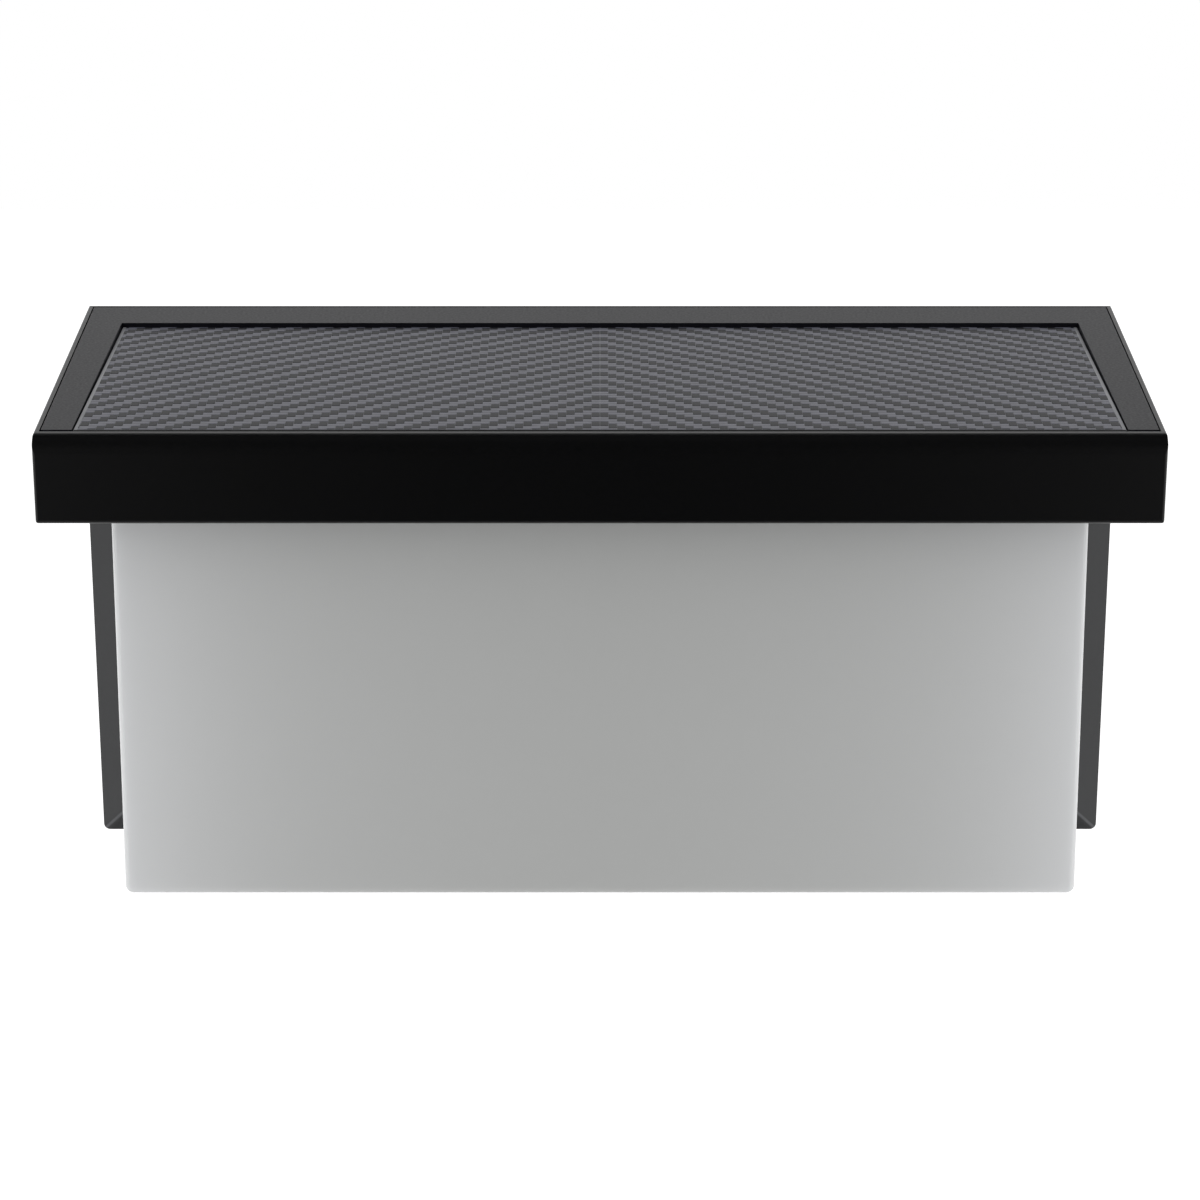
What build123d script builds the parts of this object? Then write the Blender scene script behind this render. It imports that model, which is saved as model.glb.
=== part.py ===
from build123d import *

import os
from math import atan2, cos, sin

# Solar fence light, all sizes in millimetres.
# X runs along the wall, Y points into the wall and Z points up.
# The origin is midway between the two keyholes, on the back face.
# A depth is a distance in front of the wall, so it is measured along -Y.

# Overall sizes
hood_width = 160.0
hood_depth = 67.2
hood_height = 12.9
total_height = 82.8
hood_top = 30.0  # above the middle of the keyholes

# Clearances
seam_gap = 0.15  # between moulded shells of one body
panel_gap = 0.15  # beside and behind the solar panel in its window
lip_gap = 0.7  # between the hood's front lip and what lies behind it
screw_gap = 0.05  # around a screw's shank
head_gap = 0.3  # around a screw's head
button_gap = 0.1  # around the sliding button
travel_gap = 0.4  # past the button's full travel
boss_gap = 0.3  # around a screw boss
lead_gap = 0.15  # around an insulated lead

# Hood tray
hood_wall = 2.4
hood_floor = 2.0
hood_rim = 0.7  # thin rim beside and behind the top frame
lip_width = 3.0  # front lip, seen in front of the top frame
front_ledge = 2.0  # carries the front bar of the top frame
lip_radius = 2.5
hood_top_radius = 0.2
hood_low_radius = 0.7
hood_corner_radius = 0.4

# Top frame and its window, which widens a little towards the front
frame_thickness = 4.0
frame_edge_radius = 0.1
side_rail = 6.2  # at the back of the window
window_flare = 0.95  # each side of the window widens by this much towards the front
back_rail = 9.7
panel_recess = 0.55  # the solar panel lies this deep at the back and level at the front
panel_ledge = 3.0

# Solar panel, from its cover down
cover_thickness = 0.5
cell_thickness = 0.25
panel_board_thickness = 1.0
tape_thickness = 0.3
tape_width = 2.0
cell_columns = 8
cell_margin = 3.5
cell_spacing = 0.8

# Rear housing
housing_width = 159.0
housing_depth = 15.0
housing_wall = 2.4
housing_rim = 1.2  # rim around the inset back cover
housing_corner_radius = 1.0
bevel_corner_radius = 0.2  # at the inner end of the bevel's mitre
bevel_width = 8.2
bevel_depth = 1.8
front_wall_inside = 12.6  # depth of the front wall's inner face

# Diffuser
diffuser_side_margin = 8.9  # from the housing's side to the diffuser's top corner
diffuser_flare = 0.4  # each side of the diffuser widens by this much towards the bottom
diffuser_depth = 57.0
diffuser_wall = 2.0
diffuser_low_margin = 7.8  # from the housing's underside to the diffuser's
diffuser_corner_radius = 1.2
diffuser_edge_radius = 0.7
flange_width = 2.0
flange_thickness = 1.6
diffuser_seal_thickness = 0.8

# Reflector tray and the lamps
reflector_plate = 1.6
reflector_wall = 1.4
reflector_depth = 20.5
reflector_side_gap = 4.5  # from the tray to the diffuser's inner face
lamp_board_margin = 4.1  # from the tray's side to the lamp board
lamp_board_height = 14.0
lamp_board_thickness = 1.2
lamp_board_middle = -12.0
lamp_count = 8
lamp_length = 3.5
lamp_height = 2.8
lamp_thickness = 0.7
lamp_screw_inset = 4.0

# Back cover
back_cover_thickness = 2.4
back_seal_thickness = 0.8
post_radius = 2.0
side_post_z = -8.0
low_post_x = 45.0

# Keyholes
keyhole_spacing = 90.0
keyhole_entry_radius = 4.0
keyhole_slot_width = 4.4
keyhole_rise = 7.0
pocket_depth = 4.6
pocket_wall = 1.2
pocket_margin = 1.5

# Screws of the casing
screw_radius = 1.3
screw_head_radius = 2.5
screw_head_height = 1.4
screw_length = 8.0
screw_sink = 0.2  # the back cover's screw heads lie this far below its face
boss_radius = 2.7
boss_inset = 2.2  # from the housing's inner walls to a corner boss's middle
hood_boss_drop = 7.2
hood_screw_depth = 5.7
hood_screw_x = (-60.0, -20.0, 20.0, 60.0)
drive_recess_length = 2.6
drive_recess_width = 0.6
drive_recess_depth = 0.7

# Small screws of the boards
small_screw_radius = 1.0
small_head_radius = 1.9
small_head_height = 1.2
small_screw_length = 4.4

# Battery, a cell of standard size in a cradle
battery_radius = 7.1
battery_length = 49.2
battery_nub_radius = 2.75
battery_nub_length = 1.2
battery_edge_radius = 0.6
battery_middle = -4.0
cradle_wall = 1.2
cradle_gap = 0.3
cradle_lip = 3.0  # the cradle's sides reach this far past the cell's axis
contact_thickness = 0.4
contact_room = 1.6  # between each end of the cell and its contact
contact_width = 8.0
contact_touch = 0.05
tab_width = 3.0
tab_length = 3.6  # below the cradle
pad_thickness = 0.5
pad_margin = 3.0

# Control board
board_length = 76.0
board_height = 20.0
board_thickness = 1.6
board_middle = -30.5
board_standoff = 2.2
standoff_radius = 2.5
board_screw_inset = 3.8
chip_length = 5.0
chip_width = 4.0
chip_height = 1.6
chip_at = (9.0, -24.0)
inductor_radius = 2.9
inductor_height = 4.0
inductor_at = (16.0, -24.5)
capacitor_radius = 2.5
capacitor_length = 7.0
capacitor_at = (-12.0, -24.5)
socket_length = 6.0
socket_width = 4.0
socket_height = 4.5
battery_socket_x = -24.0
lamp_socket_x = 0.0
panel_socket_x = 24.0

# Push button under the housing and the switch above it
button_x = -10.0
button_radius = 3.5
button_proud = 0.6
button_flange_radius = 4.0
button_flange_thickness = 1.0
button_stem_radius = 1.5
button_edge_radius = 0.5
button_travel = 0.8
button_end_gap = 0.05
plunger_radius = 1.0
plunger_reach = 1.2  # below the switch at rest
plunger_inside = 1.6
switch_length = 7.0
switch_width = 4.0
switch_height = 4.6
switch_bottom = -36.4

# Leads
lead_radius = 0.6
lead_pitch = 1.8
panel_pad_depth = 20.0
lead_drop = 4.6  # from the panel's pads to the run above the hood's floor
lead_bend = 2.0
tight_bend = 0.8
panel_lead_fall = 3.4  # between the two turns beside the battery
battery_lead_depth = 11.0
lamp_lead_z = -17.6
grommet_x = 33.5
grommet_neck_radius = 2.5
grommet_gap = 0.05
grommet_flange_radius = 3.2
grommet_foot_radius = 2.8
grommet_flange_thickness = 1.0

# Levels worked out from the sizes above
hood_bottom = hood_top - hood_height
frame_bottom = hood_top - frame_thickness
housing_bottom = hood_top - total_height
housing_inner_width = housing_width - 2 * housing_wall
housing_inner_top = hood_bottom - housing_wall
housing_inner_bottom = housing_bottom + housing_wall
window_front = hood_depth - lip_width
window_length = window_front - back_rail
panel_tilt = atan2(panel_recess, window_length)
window_back_width = hood_width - 2 * side_rail
window_front_width = window_back_width + 2 * window_flare
diffuser_top = hood_bottom - seam_gap
diffuser_bottom = housing_bottom + diffuser_low_margin
diffuser_top_width = housing_width - 2 * diffuser_side_margin
diffuser_bottom_width = diffuser_top_width + 2 * diffuser_flare
flange_front = front_wall_inside - diffuser_seal_thickness
flange_back = flange_front - flange_thickness
flange_top = housing_inner_top - seam_gap
flange_bottom = diffuser_bottom - flange_width
flange_outer = diffuser_bottom_width / 2 + flange_width
reflector_back = flange_back - reflector_plate
boss_side = housing_inner_width / 2 - boss_inset
boss_heights = (housing_inner_top - boss_inset, housing_inner_bottom + boss_inset)
corner_bosses = [(x, z) for x in (-boss_side, boss_side) for z in boss_heights]
hood_screws_at = [(x, -hood_screw_depth) for x in hood_screw_x]
keyholes_at = (-keyhole_spacing / 2, keyhole_spacing / 2)
board_back = back_cover_thickness + board_standoff
board_front = board_back + board_thickness
button_depth = board_front + switch_width / 2
board_screw_x = board_length / 2 - board_screw_inset
board_screw_rise = board_height / 2 - board_screw_inset
board_screw_heights = (board_middle - board_screw_rise, board_middle + board_screw_rise)
board_screws_at = [(side * board_screw_x, z) for side in (-1, 1) for z in board_screw_heights]
tray_width = diffuser_top_width - 2 * (diffuser_wall + reflector_side_gap)
tray_top = flange_top - reflector_side_gap
tray_bottom = diffuser_bottom + diffuser_wall + reflector_side_gap
lamp_board_length = tray_width - 2 * lamp_board_margin
lamp_screw_spacing = lamp_board_length - 2 * lamp_screw_inset
lamp_pitch = lamp_screw_spacing / lamp_count
lamp_screws_at = [(side * lamp_screw_spacing / 2, lamp_board_middle) for side in (-1, 1)]


def front_plane(depth):
    """An upright plane at this depth in front of the wall, with Z up in the sketch."""
    return Plane.XZ.offset(depth)


def level_plane(height):
    """A level plane at this height."""
    return Plane.XY.offset(height)


def spread(low, high):
    """The middle and the length of a span."""
    return (low + high) / 2, high - low


def upright_rectangle(width, bottom, top):
    """A rectangle in an upright sketch, centred in X, between two heights."""
    middle, height = spread(bottom, top)
    with Locations((0, middle)):
        Rectangle(width, height)


def level_rectangle(width, back, front):
    """A rectangle in a level sketch, centred in X, between two depths."""
    middle, length = spread(back, front)
    with Locations((0, -middle)):
        Rectangle(width, length)


def housing_outline(inset, corner_radius):
    """The housing's front outline, moved inwards by inset at its sides and below, with rounded low corners."""
    upright_rectangle(housing_width - 2 * inset, housing_bottom + inset, hood_bottom)
    fillet(vertices().group_by(Axis.Y)[0], corner_radius)


def diffuser_outline(inset, top, bottom, mode=Mode.ADD):
    """The diffuser's section, moved inwards by inset, between two heights."""
    slope = (diffuser_bottom_width - diffuser_top_width) / 2 / (diffuser_top - diffuser_bottom)
    top_half = diffuser_top_width / 2 + slope * (diffuser_top - top) - inset
    bottom_half = diffuser_top_width / 2 + slope * (diffuser_top - bottom) - inset
    Polygon(
        (-bottom_half, bottom),
        (bottom_half, bottom),
        (top_half, top),
        (-top_half, top),
        align=None,
        mode=mode,
    )


def panel_plane(depth_below):
    """A plane parallel to the solar panel, this far below the top of its cover."""
    tilted = Plane(
        origin=(0, -back_rail, hood_top - panel_recess),
        x_dir=(1, 0, 0),
        z_dir=(0, sin(panel_tilt), cos(panel_tilt)),
    )
    return tilted.offset(-depth_below)


def window_outline(inset, front_run):
    """The window's outline on the panel's plane, moved inwards by inset on its back and sides."""
    grow = (window_front_width - window_back_width) / 2 / window_length
    back_half = window_back_width / 2 - inset
    front_half = back_half + grow * front_run
    Polygon(
        (-back_half, -inset),
        (-front_half, -front_run),
        (front_half, -front_run),
        (back_half, -inset),
        align=None,
    )


def screw_group(plane_of, head_start, run, at, radius, head_radius, head_height, length):
    """Pan-head screws with a cross recess, whose heads start at a depth and whose shanks run on by run."""
    seat = head_start + run * head_height
    recess_length = drive_recess_length * head_radius / screw_head_radius
    with BuildPart() as group:
        with BuildSketch(plane_of(head_start)):
            with Locations(*at):
                Circle(head_radius)
        extrude(amount=head_height)
        with BuildSketch(plane_of(seat)):
            with Locations(*at):
                Circle(radius)
        extrude(amount=length)
        with BuildSketch(plane_of(head_start)):
            with Locations(*at):
                Rectangle(recess_length, drive_recess_width)
                Rectangle(drive_recess_width, recess_length)
        extrude(amount=drive_recess_depth, mode=Mode.SUBTRACT)
    return group


def lead(points, radii):
    """One insulated lead along straight runs joined by arcs."""
    with BuildPart() as wire:
        with BuildLine() as route:
            FilletPolyline(*points, radius=radii)
        start = Vector(*points[0])
        with BuildSketch(Plane(origin=start, z_dir=Vector(*points[1]) - start)):
            Circle(lead_radius)
        sweep(path=route.wires()[0])
    return wire.part


def downward_plane(height):
    """A level plane at this height that looks down, with the depth as its second direction."""
    return Plane(origin=(0, 0, height), x_dir=(1, 0, 0), z_dir=(0, 0, -1))


def rear_plane(depth):
    """An upright plane at this depth that looks towards the wall, with Z down in the sketch."""
    return Plane(origin=(0, -depth, 0), x_dir=(1, 0, 0), z_dir=(0, 1, 0))


# Hood: a tray with a floor, whose rim surrounds the top frame
with BuildPart() as hood:
    with BuildSketch(Plane.YZ):
        with BuildLine():
            Polyline(
                (0, hood_bottom),
                (0, hood_top),
                (-hood_depth, hood_top),
                (-hood_depth, hood_bottom),
                close=True,
            )
        make_face()
        fillet(vertices().group_by(Axis.Y)[0], hood_low_radius)
        fillet(vertices().group_by(Axis.Y)[-1].sort_by(Axis.X)[-1], hood_top_radius)
        fillet(vertices().group_by(Axis.Y)[-1].sort_by(Axis.X)[0], lip_radius)
    extrude(amount=hood_width / 2, both=True)
    with BuildSketch(Plane.XZ):
        upright_rectangle(hood_width, hood_bottom, hood_top)
        fillet(vertices().group_by(Axis.Y)[0], hood_low_radius)
        fillet(vertices().group_by(Axis.Y)[-1], hood_top_radius)
    extrude(amount=hood_depth, mode=Mode.INTERSECT)
    with BuildSketch(level_plane(hood_bottom)):
        level_rectangle(hood_width, 0, hood_depth)
        fillet(vertices(), hood_corner_radius)
    extrude(amount=hood_height, mode=Mode.INTERSECT)
    # Seat of the top frame
    with BuildSketch(level_plane(frame_bottom)):
        level_rectangle(hood_width - 2 * hood_rim, hood_rim, hood_depth - lip_width)
    extrude(amount=frame_thickness, mode=Mode.SUBTRACT)
    # Cavity under the solar panel
    with BuildSketch(level_plane(hood_bottom + hood_floor)):
        level_rectangle(hood_width - 2 * hood_wall, hood_wall, hood_depth - lip_width - front_ledge)
    extrude(amount=hood_height, mode=Mode.SUBTRACT)
    # Holes for the screws into the housing and for the grommet
    with BuildSketch(level_plane(hood_bottom)):
        with Locations(*hood_screws_at):
            Circle(screw_radius + screw_gap)
        with Locations((grommet_x, -hood_screw_depth)):
            Circle(grommet_neck_radius + grommet_gap)
    extrude(amount=hood_floor, mode=Mode.SUBTRACT)

# Top frame: side rails and a back rail above a ledge that carries the panel
ledge_depth = cover_thickness + cell_thickness + panel_board_thickness + tape_thickness
frame_width = hood_width - 2 * (hood_rim + seam_gap)
with BuildPart() as top_frame:
    with BuildSketch(level_plane(frame_bottom)):
        level_rectangle(frame_width, hood_rim + seam_gap, hood_depth - lip_width - lip_gap)
    extrude(amount=frame_thickness)
    fillet(faces().sort_by(Axis.Z)[-1].edges(), frame_edge_radius)
    with BuildSketch(panel_plane(ledge_depth)):
        window_outline(0, hood_depth)
    extrude(amount=frame_thickness, mode=Mode.SUBTRACT)
    with BuildSketch(level_plane(frame_bottom)):
        level_rectangle(
            window_back_width - 2 * panel_ledge,
            back_rail + panel_ledge,
            window_front - lip_gap - panel_ledge,
        )
    extrude(amount=frame_thickness, mode=Mode.SUBTRACT)

# Solar panel: textured cover, dark cells, backing board and the tape that holds it
panel_run = window_length - lip_gap
with BuildPart() as solar_cover:
    with BuildSketch(panel_plane(cover_thickness)):
        window_outline(panel_gap, panel_run)
    extrude(amount=cover_thickness)

with BuildPart() as panel_board:
    with BuildSketch(panel_plane(cover_thickness + cell_thickness + panel_board_thickness)):
        window_outline(panel_gap, panel_run)
    extrude(amount=panel_board_thickness)

cell_area_length = panel_run - 2 * cell_margin
cell_width = (window_back_width - 2 * cell_margin + cell_spacing) / cell_columns - cell_spacing
with BuildPart() as solar_cells:
    with BuildSketch(panel_plane(cover_thickness + cell_thickness)):
        with Locations((0, -panel_run / 2)):
            with GridLocations(cell_width + cell_spacing, 0, cell_columns, 1):
                Rectangle(cell_width, cell_area_length)
    extrude(amount=cell_thickness)

with BuildPart() as panel_tape:
    with BuildSketch(panel_plane(ledge_depth)):
        window_outline(panel_gap, panel_run)
        with Locations((0, -panel_run / 2)):
            Rectangle(
                window_back_width - 2 * (panel_gap + tape_width),
                panel_run - panel_gap - 2 * tape_width,
                mode=Mode.SUBTRACT,
            )
    extrude(amount=tape_thickness)

# Rear housing: bevelled front, open at the back
housing_front = housing_depth + bevel_depth
with BuildPart() as rear_housing:
    with BuildSketch(Plane.XZ):
        housing_outline(0, housing_corner_radius)
    extrude(amount=housing_depth)
    with BuildSketch(front_plane(housing_depth)):
        housing_outline(0, housing_corner_radius)
    with BuildSketch(front_plane(housing_front)):
        housing_outline(bevel_width, bevel_corner_radius)
    loft(ruled=True)
    # Room for the back cover and its seal inside a thin rim
    with BuildSketch(Plane.XZ):
        upright_rectangle(
            housing_width - 2 * housing_rim,
            housing_bottom + housing_rim,
            hood_bottom - housing_rim,
        )
    extrude(amount=back_cover_thickness + back_seal_thickness, mode=Mode.SUBTRACT)
    # Main cavity
    with BuildSketch(Plane.XZ):
        upright_rectangle(housing_inner_width, housing_inner_bottom, housing_inner_top)
    extrude(amount=front_wall_inside, mode=Mode.SUBTRACT)
    # Opening for the diffuser, closed above by the hood's floor
    with BuildSketch(front_plane(front_wall_inside)):
        diffuser_outline(-seam_gap, hood_bottom, diffuser_bottom - seam_gap)
    extrude(amount=housing_front, mode=Mode.SUBTRACT)
    # Bosses for the back cover's screws
    with BuildSketch(front_plane(back_cover_thickness + back_seal_thickness)):
        with Locations(*corner_bosses):
            Circle(boss_radius)
    extrude(amount=front_wall_inside - back_cover_thickness - back_seal_thickness)
    # Bosses for the hood's screws
    with BuildSketch(level_plane(hood_bottom - housing_wall - hood_boss_drop)):
        with Locations(*hood_screws_at):
            Circle(boss_radius)
    extrude(amount=hood_boss_drop)
    with BuildSketch(Plane.XZ):
        with Locations(*corner_bosses):
            Circle(screw_radius + screw_gap)
    extrude(amount=screw_length + back_cover_thickness + screw_gap, mode=Mode.SUBTRACT)
    with BuildSketch(level_plane(hood_bottom - screw_length)):
        with Locations(*hood_screws_at):
            Circle(screw_radius + screw_gap)
        with Locations((grommet_x, -hood_screw_depth)):
            Circle(grommet_neck_radius + grommet_gap)
    extrude(amount=screw_length, mode=Mode.SUBTRACT)
    # Hole for the push button
    with BuildSketch(level_plane(housing_bottom)):
        with Locations((button_x, -button_depth)):
            Circle(button_radius + button_gap)
    extrude(amount=housing_wall, mode=Mode.SUBTRACT)

# Diffuser: an opal box, open at the back, with a flange inside the housing
with BuildPart() as diffuser:
    with BuildSketch(front_plane(flange_back)):
        diffuser_outline(0, diffuser_top, diffuser_bottom)
        fillet(vertices().group_by(Axis.Y)[0], diffuser_corner_radius)
    extrude(amount=diffuser_depth - flange_back)
    front_edges = faces().filter_by(Axis.Y).sort_by(Axis.Y)[0].edges()
    fillet(front_edges, diffuser_edge_radius)
    with BuildSketch(front_plane(flange_back)):
        upright_rectangle(2 * flange_outer, flange_bottom, flange_top)
    extrude(amount=flange_thickness)
    with BuildSketch(front_plane(flange_back)):
        diffuser_outline(diffuser_wall, diffuser_top - diffuser_wall, diffuser_bottom + diffuser_wall)
    extrude(amount=diffuser_depth - diffuser_wall - flange_back, mode=Mode.SUBTRACT)
    # The top steps down under the housing's top wall
    with BuildSketch(front_plane(flange_back)):
        upright_rectangle(hood_width, flange_top, hood_top)
    extrude(amount=front_wall_inside + seam_gap - flange_back, mode=Mode.SUBTRACT)
    with BuildSketch(front_plane(flange_back)):
        with Locations(*corner_bosses):
            Circle(boss_radius + boss_gap)
    extrude(amount=front_wall_inside - flange_back, mode=Mode.SUBTRACT)

with BuildPart() as diffuser_seal:
    with BuildSketch(front_plane(flange_front)):
        upright_rectangle(2 * flange_outer, flange_bottom, flange_top)
        diffuser_outline(-seam_gap, hood_top, diffuser_bottom - seam_gap, mode=Mode.SUBTRACT)
        with Locations(*corner_bosses):
            Circle(boss_radius + boss_gap, mode=Mode.SUBTRACT)
    extrude(amount=diffuser_seal_thickness)

# Reflector: a white tray that clamps the diffuser's flange and carries the lamps
with BuildPart() as reflector:
    with BuildSketch(front_plane(reflector_back)):
        upright_rectangle(2 * flange_outer, flange_bottom, flange_top)
        with Locations(*corner_bosses):
            Circle(boss_radius + boss_gap, mode=Mode.SUBTRACT)
    extrude(amount=reflector_plate)
    with BuildSketch(front_plane(reflector_back)):
        upright_rectangle(tray_width, tray_bottom, tray_top)
    extrude(amount=reflector_depth - reflector_back)
    with BuildSketch(front_plane(reflector_back)):
        upright_rectangle(
            tray_width - 2 * reflector_wall,
            tray_bottom + reflector_wall,
            tray_top - reflector_wall,
        )
    extrude(amount=reflector_depth - reflector_wall - reflector_back, mode=Mode.SUBTRACT)

    # Bosses for the lamp board's screws
    with BuildSketch(front_plane(reflector_depth - small_screw_length - reflector_wall)):
        with Locations(*lamp_screws_at):
            Circle(standoff_radius)
    extrude(amount=small_screw_length)
    with BuildSketch(front_plane(reflector_depth - small_screw_length)):
        with Locations(*lamp_screws_at):
            Circle(small_screw_radius + screw_gap)
        with Locations((lamp_socket_x, lamp_lead_z)):
            SlotOverall(2 * lead_pitch + lead_radius, 2 * (lead_radius + lead_gap))
    extrude(amount=small_screw_length, mode=Mode.SUBTRACT)
    # Slot for the switch and the button's stem
    with BuildSketch(front_plane(reflector_back)):
        with Locations((button_x, flange_bottom)):
            Rectangle(
                switch_length + 2 * boss_gap,
                2 * (tray_bottom + reflector_wall - flange_bottom),
            )
    extrude(amount=board_front + switch_width + boss_gap - reflector_back, mode=Mode.SUBTRACT)

# Lamps on their board
with BuildPart() as lamp_board:
    with BuildSketch(front_plane(reflector_depth)):
        with Locations((0, lamp_board_middle)):
            Rectangle(lamp_board_length, lamp_board_height)
        with Locations(*lamp_screws_at):
            Circle(small_screw_radius + screw_gap, mode=Mode.SUBTRACT)
    extrude(amount=lamp_board_thickness)

with BuildPart() as lamps:
    with BuildSketch(front_plane(reflector_depth + lamp_board_thickness)):
        with Locations((0, lamp_board_middle)):
            with GridLocations(lamp_pitch, 0, lamp_count, 1):
                Rectangle(lamp_length, lamp_height)
    extrude(amount=lamp_thickness)

lamp_screws = screw_group(
    rear_plane,
    reflector_depth + lamp_board_thickness + small_head_height,
    -1,
    [(x, -z) for x, z in lamp_screws_at],
    small_screw_radius,
    small_head_radius,
    small_head_height,
    small_screw_length,
)

# Back cover with two keyholes, each closed behind by a pocket
cover_width = housing_width - 2 * (housing_rim + seam_gap)
cover_bottom = housing_bottom + housing_rim + seam_gap
cover_top = hood_bottom - housing_rim - seam_gap
pocket_half = keyhole_entry_radius + pocket_margin
pocket_middle = keyhole_rise / 2
pocket_height = 2 * pocket_half + keyhole_rise
side_post_x = (tray_width / 2 + flange_outer) / 2
low_post_z = (tray_bottom + flange_bottom) / 2
posts_at = [(side_post_x, side_post_z), (low_post_x, low_post_z)]
with BuildPart() as back_cover:
    with BuildSketch(Plane.XZ):
        upright_rectangle(cover_width, cover_bottom, cover_top)
    extrude(amount=back_cover_thickness)
    with BuildSketch(Plane.XZ):
        for keyhole_x in keyholes_at:
            with Locations((keyhole_x, pocket_middle)):
                Rectangle(2 * (pocket_half + pocket_wall), pocket_height + 2 * pocket_wall)
        fillet(vertices(), pocket_margin + pocket_wall)
    extrude(amount=back_cover_thickness + pocket_depth + pocket_wall)
    with BuildSketch(front_plane(back_cover_thickness)):
        for side in (-1, 1):
            for post_x, post_z in posts_at:
                with Locations((side * post_x, post_z)):
                    Circle(post_radius)
    extrude(amount=reflector_back - back_cover_thickness)
    with BuildSketch(front_plane(back_cover_thickness)):
        with Locations(*board_screws_at):
            Circle(standoff_radius)
    extrude(amount=board_standoff)
    with BuildSketch(front_plane(back_cover_thickness)):
        for keyhole_x in keyholes_at:
            with Locations((keyhole_x, pocket_middle)):
                Rectangle(2 * pocket_half, pocket_height)
        fillet(vertices(), pocket_margin)
    extrude(amount=pocket_depth, mode=Mode.SUBTRACT)
    with BuildSketch(Plane.XZ):
        for keyhole_x in keyholes_at:
            with Locations((keyhole_x, 0)):
                Circle(keyhole_entry_radius)
            with Locations((keyhole_x, keyhole_rise / 2)):
                SlotCenterToCenter(keyhole_rise, keyhole_slot_width, rotation=90)
    extrude(amount=back_cover_thickness, mode=Mode.SUBTRACT)
    with BuildSketch(Plane.XZ):
        with Locations(*corner_bosses):
            Circle(screw_radius + screw_gap)
    extrude(amount=back_cover_thickness, mode=Mode.SUBTRACT)
    with BuildSketch(Plane.XZ):
        with Locations(*corner_bosses):
            Circle(screw_head_radius + head_gap)
    extrude(amount=screw_sink + screw_head_height, mode=Mode.SUBTRACT)
    with BuildSketch(front_plane(board_front - small_screw_length)):
        with Locations(*board_screws_at):
            Circle(small_screw_radius + screw_gap)
    extrude(amount=small_screw_length, mode=Mode.SUBTRACT)

with BuildPart() as back_seal:
    with BuildSketch(front_plane(back_cover_thickness)):
        upright_rectangle(cover_width, cover_bottom, cover_top)
        seal_middle, seal_height = spread(housing_inner_bottom, housing_inner_top)
        with Locations((0, seal_middle)):
            Rectangle(housing_inner_width, seal_height, mode=Mode.SUBTRACT)
    extrude(amount=back_seal_thickness)

back_screws = screw_group(
    front_plane,
    screw_sink,
    1,
    corner_bosses,
    screw_radius,
    screw_head_radius,
    screw_head_height,
    screw_length,
)

hood_screws = screw_group(
    downward_plane,
    hood_bottom + hood_floor + screw_head_height,
    -1,
    [(x, -y) for x, y in hood_screws_at],
    screw_radius,
    screw_head_radius,
    screw_head_height,
    screw_length,
)

# Battery, its cradle and its contacts
cradle_back = back_cover_thickness + pad_thickness
battery_depth = cradle_back + cradle_wall + cradle_gap + battery_radius
cradle_front = battery_depth + cradle_lip
bay_height = 2 * (battery_radius + cradle_gap)
bay_length = battery_length + battery_nub_length + 2 * (contact_room + contact_thickness)
contact_side = bay_length / 2 - contact_thickness
tab_bottom = battery_middle - bay_height / 2 - cradle_wall - tab_length
battery_axis = Plane(
    origin=(-(battery_length + battery_nub_length) / 2, -battery_depth, battery_middle),
    x_dir=(0, 1, 0),
    z_dir=(1, 0, 0),
)
with BuildPart() as battery:
    with BuildSketch(battery_axis):
        Circle(battery_radius)
    extrude(amount=battery_length)
    fillet(edges().filter_by(GeomType.CIRCLE), battery_edge_radius)
    with BuildSketch(battery_axis.offset(battery_length)):
        Circle(battery_nub_radius)
    extrude(amount=battery_nub_length)

with BuildPart() as battery_pad:
    with BuildSketch(front_plane(back_cover_thickness)):
        with Locations((0, battery_middle)):
            Rectangle(bay_length - 2 * pad_margin, bay_height - 2 * pad_margin)
    extrude(amount=pad_thickness)

with BuildPart() as battery_cradle:
    with BuildSketch(front_plane(cradle_back)):
        with Locations((0, battery_middle)):
            Rectangle(bay_length + 2 * cradle_wall, bay_height + 2 * cradle_wall)
    extrude(amount=cradle_front - cradle_back)
    with BuildSketch(front_plane(cradle_back + cradle_wall)):
        with Locations((0, battery_middle)):
            Rectangle(bay_length, bay_height)
    extrude(amount=cradle_front, mode=Mode.SUBTRACT)
    # Slots for the contacts' solder tabs
    with BuildSketch(front_plane(battery_lead_depth - tab_width / 2 - seam_gap)):
        for side in (-1, 1):
            with Locations((side * (contact_side + contact_thickness / 2), battery_middle - bay_height / 2)):
                Rectangle(contact_thickness, 4 * cradle_wall)
    extrude(amount=tab_width + 2 * seam_gap, mode=Mode.SUBTRACT)


def battery_contact(side, cell_end):
    """A plate at one end of the bay, with a folded leaf that reaches the cell and a solder tab below."""
    with BuildPart() as contact:
        with BuildSketch(Plane.YZ.offset(side * contact_side)):
            with Locations((-battery_depth, battery_middle)):
                Rectangle(contact_width, contact_width)
            middle, height = spread(tab_bottom, battery_middle)
            with Locations((-battery_lead_depth, middle)):
                Rectangle(tab_width, height)
        extrude(amount=side * contact_thickness)
        with BuildSketch(level_plane(battery_middle - contact_width / 4)):
            with BuildLine():
                Polyline(
                    (side * contact_side, -battery_depth - contact_width / 2),
                    (side * (cell_end + contact_touch), -battery_depth),
                    (side * (cell_end + contact_touch + contact_thickness), -battery_depth),
                    (side * contact_side, -battery_depth - contact_width / 2 + 2 * contact_thickness),
                    close=True,
                )
            make_face()
        extrude(amount=contact_width / 2)
    return contact


battery_half = (battery_length + battery_nub_length) / 2
positive_contact = battery_contact(1, battery_half)
negative_contact = battery_contact(-1, battery_half)

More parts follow.
